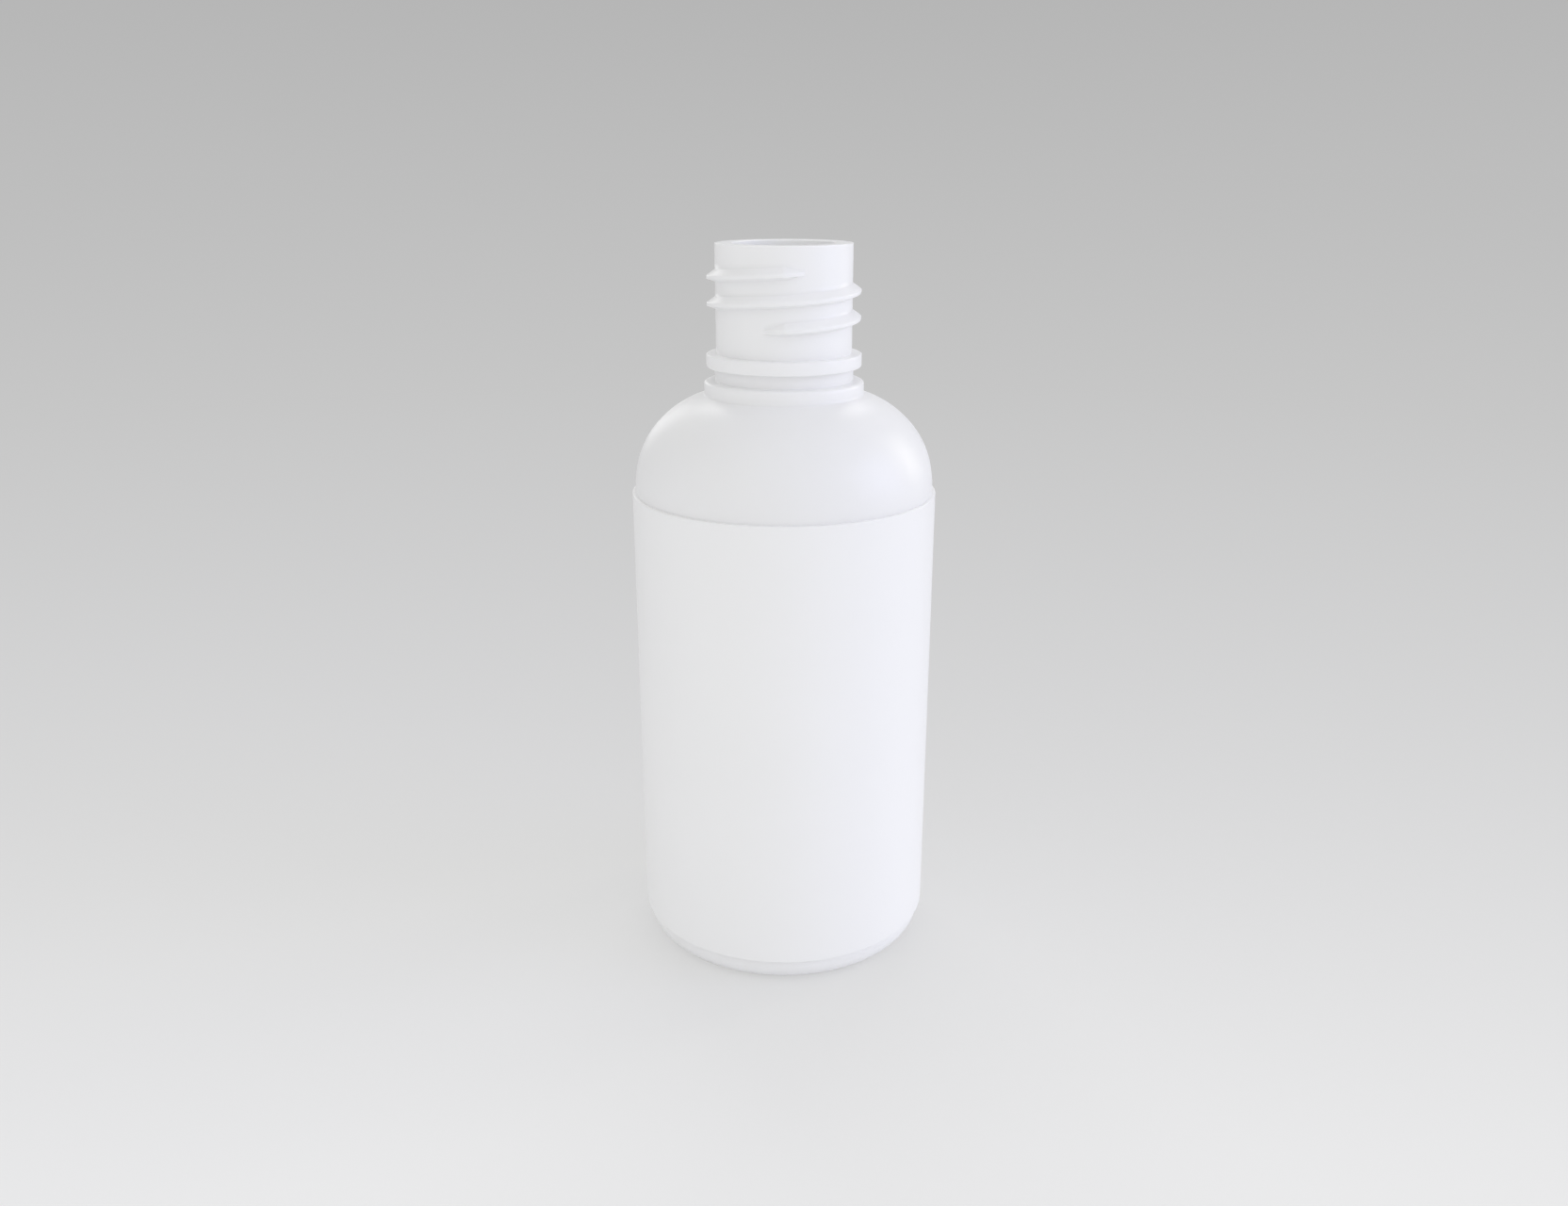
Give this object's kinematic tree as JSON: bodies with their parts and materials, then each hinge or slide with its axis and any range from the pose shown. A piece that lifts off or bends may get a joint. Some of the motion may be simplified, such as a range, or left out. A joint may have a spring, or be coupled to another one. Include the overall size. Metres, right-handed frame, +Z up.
{
  "type": "plastic bottle",
  "caption": "Small round white plastic bottle, open and without a cap, with a right-hand screw neck, a bead, a neck ring, a round shoulder and a blank sleeve round its body.",
  "frame": {"origin": "centre of the standing ring, on the bottle's axis, in the plane that the bottle stands on", "axes": "+Z up along the bottle's axis and out of its mouth, -Y the front, where both ends of the thread lie, +Y the back, where the sleeve's seam lies, +X to the right seen from the front"},
  "size_m": [0.036, 0.036, 0.0855],
  "materials": {
    "bottle_plastic": "satin white polyethylene, blow moulded",
    "sleeve_film": "blank white satin film"
  },
  "bodies": {
    "root": {"bottle": "bottle_plastic", "label_sleeve": "sleeve_film"}
  },
  "joints": []
}
